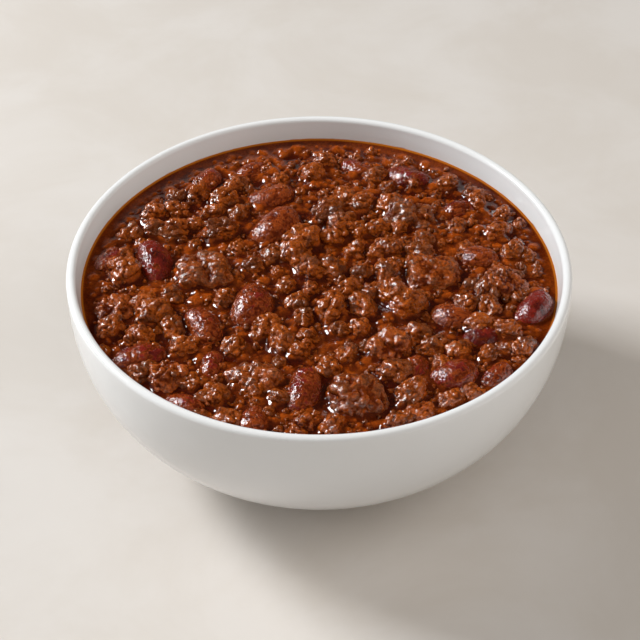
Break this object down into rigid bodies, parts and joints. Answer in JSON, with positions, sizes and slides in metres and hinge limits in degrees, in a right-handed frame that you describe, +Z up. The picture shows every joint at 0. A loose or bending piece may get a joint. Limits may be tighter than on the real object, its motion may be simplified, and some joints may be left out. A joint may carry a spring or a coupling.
{
  "type": "bowl of chili con carne",
  "caption": "Plain round white bowl filled with thick chili con carne: minced and diced beef and kidney beans in a dark red sauce.",
  "frame": {"origin": "middle of the foot's underside, on the surface the bowl stands on", "axes": "+Z up, out of the bowl; the bowl is round about Z, and the food is laid out with +Y away from the side it is usually seen from"},
  "size_m": [0.165, 0.165, 0.07],
  "materials": {
    "bowl_glaze": "gloss",
    "chili_sauce": "gloss",
    "bean_skin": "gloss",
    "beef_meat": "satin"
  },
  "bodies": {
    "root": {"bean_01": "bean_skin", "bean_02": "bean_skin", "bean_03": "bean_skin", "bean_04": "bean_skin", "bean_05": "bean_skin", "bean_06": "bean_skin", "bean_07": "bean_skin", "bean_08": "bean_skin", "bean_09": "bean_skin", "bean_10": "bean_skin", "bean_11": "bean_skin", "bean_12": "bean_skin", "bean_13": "bean_skin", "bean_14": "bean_skin", "bean_15": "bean_skin", "bean_16": "bean_skin", "bean_17": "bean_skin", "bean_18": "bean_skin", "bean_19": "bean_skin", "bean_20": "bean_skin", "bean_21": "bean_skin", "bean_22": "bean_skin", "bean_23": "bean_skin", "beef_01": "beef_meat", "beef_02": "beef_meat", "beef_03": "beef_meat", "beef_04": "beef_meat", "beef_05": "beef_meat", "beef_06": "beef_meat", "beef_07": "beef_meat", "beef_08": "beef_meat", "beef_09": "beef_meat", "beef_10": "beef_meat", "beef_11": "beef_meat", "bowl": "bowl_glaze", "chili": "chili_sauce"}
  },
  "joints": []
}
